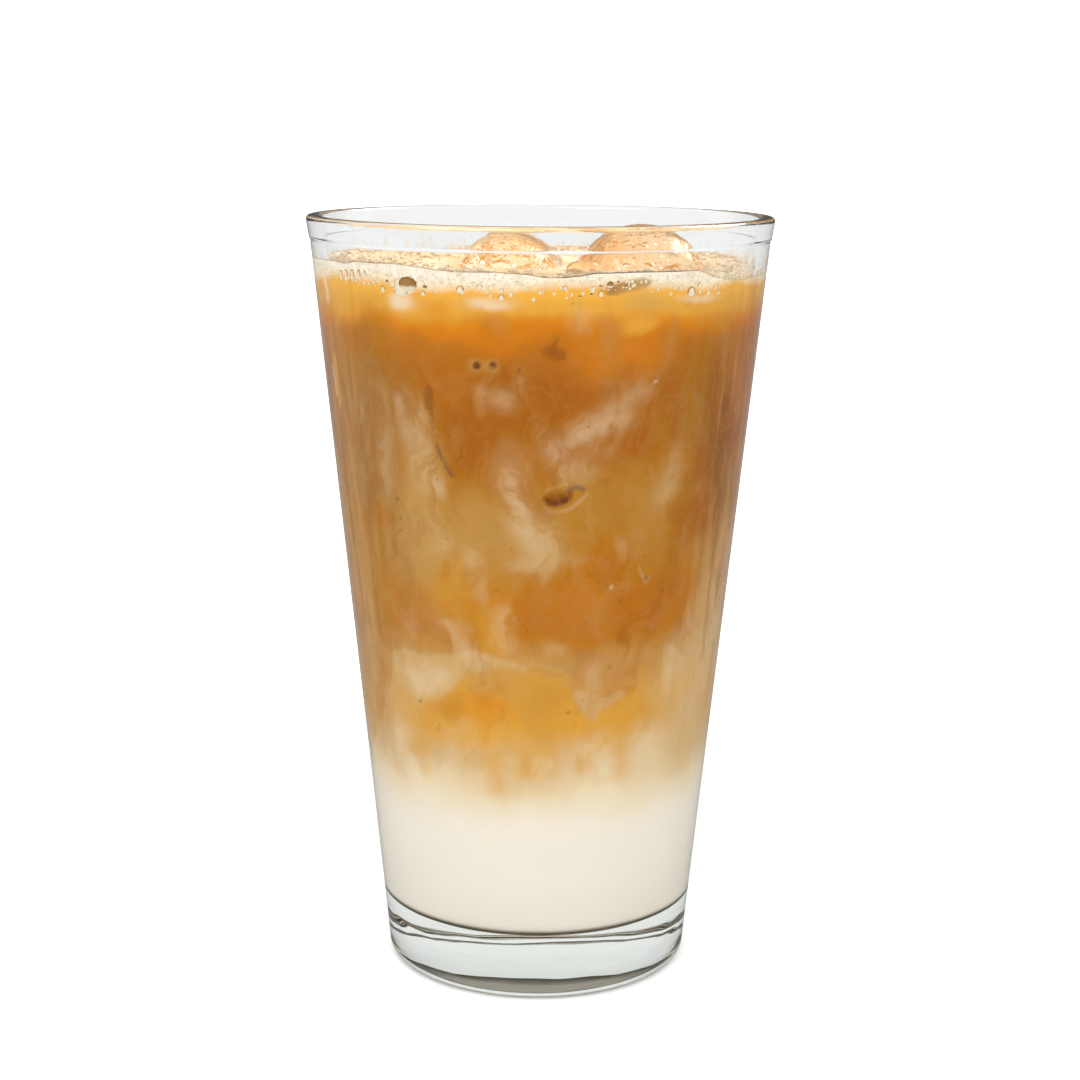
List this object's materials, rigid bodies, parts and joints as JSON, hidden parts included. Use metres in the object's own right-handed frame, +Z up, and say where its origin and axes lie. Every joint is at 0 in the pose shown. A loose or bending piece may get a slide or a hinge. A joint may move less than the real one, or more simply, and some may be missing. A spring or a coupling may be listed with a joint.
{
  "type": "iced latte in a glass",
  "caption": "Tall tapered drinking glass filled with milk, marbled coffee and foam, with rounded ice at the top.",
  "frame": {"origin": "centre of the ring that the glass stands on, at table level", "axes": "+Z up along the glass, -Y towards the viewer, +X to the viewer's right"},
  "size_m": [0.0888, 0.0888, 0.1468],
  "materials": {
    "glass": "clear, smooth, fire-polished rim",
    "milk": "opaque milk behind glass",
    "coffee": "coffee marbled with milk behind glass",
    "foam": "fine wet foam with bubbles",
    "ice": "wet melting ice, clear and bubbly"
  },
  "bodies": {
    "root": {"glass": "glass", "milk_layer": "milk", "coffee_layer": "coffee", "foam_layer": "foam", "ice_cube_left": "ice", "ice_cube_right": "ice", "ice_chip": "ice"}
  },
  "joints": []
}
